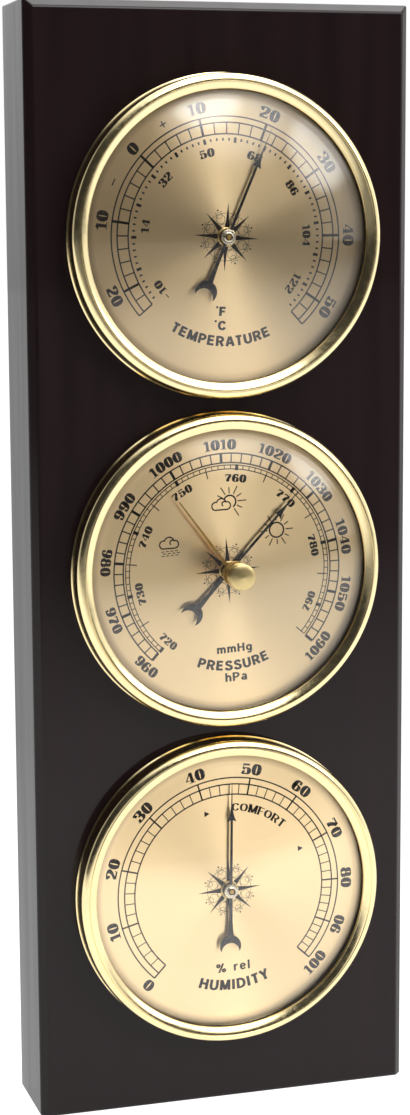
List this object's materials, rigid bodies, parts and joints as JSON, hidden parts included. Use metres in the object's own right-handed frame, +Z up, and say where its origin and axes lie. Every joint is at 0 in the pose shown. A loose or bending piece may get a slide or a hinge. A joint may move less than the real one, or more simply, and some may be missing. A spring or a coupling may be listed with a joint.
{
  "type": "wall barometer",
  "caption": "Upright bevelled board with a thermometer, an aneroid barometer with set hand, and a hygrometer as round insert instruments, hung on a keyhole plate.",
  "frame": {"origin": "the point where the wall screw carries the keyhole plate, on the plane of the board's back", "axes": "+Z up, +X to the right of someone who reads the dials, +Y into the wall"},
  "size_m": [0.1, 0.0415, 0.284],
  "materials": {
    "lacquered_board": "dark mahogany lacquer, satin gloss",
    "zinc_plate": "zinc plated",
    "case_zinc": "drawn zinc-plated sheet",
    "gold_bezel": "polished gold plating",
    "domed_glass": "clear, domed",
    "seal_rubber": "matt",
    "printed_dial": "champagne, turned brushing, printed black",
    "movement_brass": "plain brass",
    "spring_steel": "blued to grey",
    "bimetal_strip": "rolled strip",
    "humidity_strip": "metal strip with a pale coating that takes up moisture",
    "black_needle": "black enamel",
    "knob_brass": "turned, polished"
  },
  "bodies": {
    "housing": {"backboard": "lacquered_board", "hanger_plate": "zinc_plate", "hanger_screw_left": "zinc_plate", "hanger_screw_right": "zinc_plate", "thermometer_case": "case_zinc", "thermometer_bezel": "gold_bezel", "thermometer_glass": "domed_glass", "thermometer_glass_seal": "seal_rubber", "thermometer_dial": "printed_dial", "thermometer_clip_1": "spring_steel", "thermometer_clip_2": "spring_steel", "thermometer_clip_3": "spring_steel", "thermometer_cradle": "movement_brass", "barometer_case": "case_zinc", "barometer_bezel": "gold_bezel", "barometer_glass": "domed_glass", "barometer_glass_seal": "seal_rubber", "barometer_dial": "printed_dial", "barometer_clip_1": "spring_steel", "barometer_clip_2": "spring_steel", "barometer_clip_3": "spring_steel", "base_plate": "movement_brass", "pillar_1": "movement_brass", "pillar_2": "movement_brass", "pillar_3": "movement_brass", "top_plate": "movement_brass", "front_bridge": "movement_brass", "aneroid_capsule": "movement_brass", "hairspring": "spring_steel", "base_screw_left": "zinc_plate", "base_screw_right": "zinc_plate", "glass_bush": "knob_brass", "hygrometer_case": "case_zinc", "hygrometer_bezel": "gold_bezel", "hygrometer_glass": "domed_glass", "hygrometer_glass_seal": "seal_rubber", "hygrometer_dial": "printed_dial", "hygrometer_clip_1": "spring_steel", "hygrometer_clip_2": "spring_steel", "hygrometer_clip_3": "spring_steel", "hygrometer_cradle": "movement_brass"},
    "temperature_regulator": {"thermometer_regulator": "movement_brass", "bimetal_coil": "bimetal_strip"},
    "temperature_hand": {"thermometer_staff": "movement_brass", "thermometer_needle": "black_needle"},
    "sector": {"toothed_sector": "movement_brass"},
    "pressure_hand": {"pinion_staff": "spring_steel", "barometer_needle": "black_needle"},
    "lever": {"rocking_lever": "spring_steel"},
    "post": {"capsule_post": "spring_steel"},
    "pressure_adjuster": {"adjusting_screw": "movement_brass"},
    "marker": {"set_knob": "knob_brass", "set_hand": "knob_brass"},
    "humidity_regulator": {"hygrometer_regulator": "movement_brass", "humidity_coil": "humidity_strip"},
    "humidity_hand": {"hygrometer_staff": "movement_brass", "hygrometer_needle": "black_needle"}
  },
  "joints": [
    {"name": "temperature_regulating", "type": "hinge", "parent": "housing", "child": "temperature_regulator", "pos_m": [0, -0.0105, -0.0483], "axis": [0, 1, 0], "range_deg": [-20, 20]},
    {"name": "temperature_reading", "type": "hinge", "parent": "temperature_regulator", "child": "temperature_hand", "pos_m": [0, -0.028, -0.0483], "axis": [0, 1, 0], "range_deg": [-153.6, 114.4], "stiffness_Nm_per_rad": 0.0003},
    {"name": "sector_swing", "type": "hinge", "parent": "housing", "child": "sector", "pos_m": [-0.02049, -0.0229, -0.12792], "axis": [0, 1, 0], "range_deg": [-9.71, 20.06], "stiffness_Nm_per_rad": 0.04},
    {"name": "pressure_reading", "type": "hinge", "parent": "housing", "child": "pressure_hand", "pos_m": [0, -0.028, -0.1325], "axis": [0, 1, 0], "range_deg": [-180.6, 87.4]},
    {"name": "lever_rocking", "type": "hinge", "parent": "housing", "child": "lever", "pos_m": [-0.00025, -0.0186, -0.12827], "axis": [0.9982, 0, 0.0593], "range_deg": [-9.35, 4.53]},
    {"name": "capsule_travel", "type": "slide", "parent": "housing", "child": "post", "axis": [0, -1, 0], "range_m": [-0.00034, 0.0007]},
    {"name": "pressure_adjusting", "type": "hinge", "parent": "housing", "child": "pressure_adjuster", "pos_m": [0, -0.0037, -0.1325], "axis": [0, 1, 0], "range_deg": [-360, 360]},
    {"name": "marker_turning", "type": "hinge", "parent": "housing", "child": "marker", "pos_m": [0, -0.038, -0.1325], "axis": [0, 1, 0], "continuous": true},
    {"name": "humidity_regulating", "type": "hinge", "parent": "housing", "child": "humidity_regulator", "pos_m": [0, -0.0105, -0.2167], "axis": [0, 1, 0], "range_deg": [-20, 20]},
    {"name": "humidity_reading", "type": "hinge", "parent": "humidity_regulator", "child": "humidity_hand", "pos_m": [0, -0.028, -0.2167], "axis": [0, 1, 0], "range_deg": [-136.9, 131.8], "stiffness_Nm_per_rad": 0.0003}
  ],
  "couplings": [
    {"joint": "pressure_reading", "follows": "sector_swing", "ratio": -9},
    {"joint": "lever_rocking", "follows": "sector_swing", "ratio": -0.46512},
    {"joint": "capsule_travel", "follows": "sector_swing", "m_per_rad": 0.0019713}
  ]
}
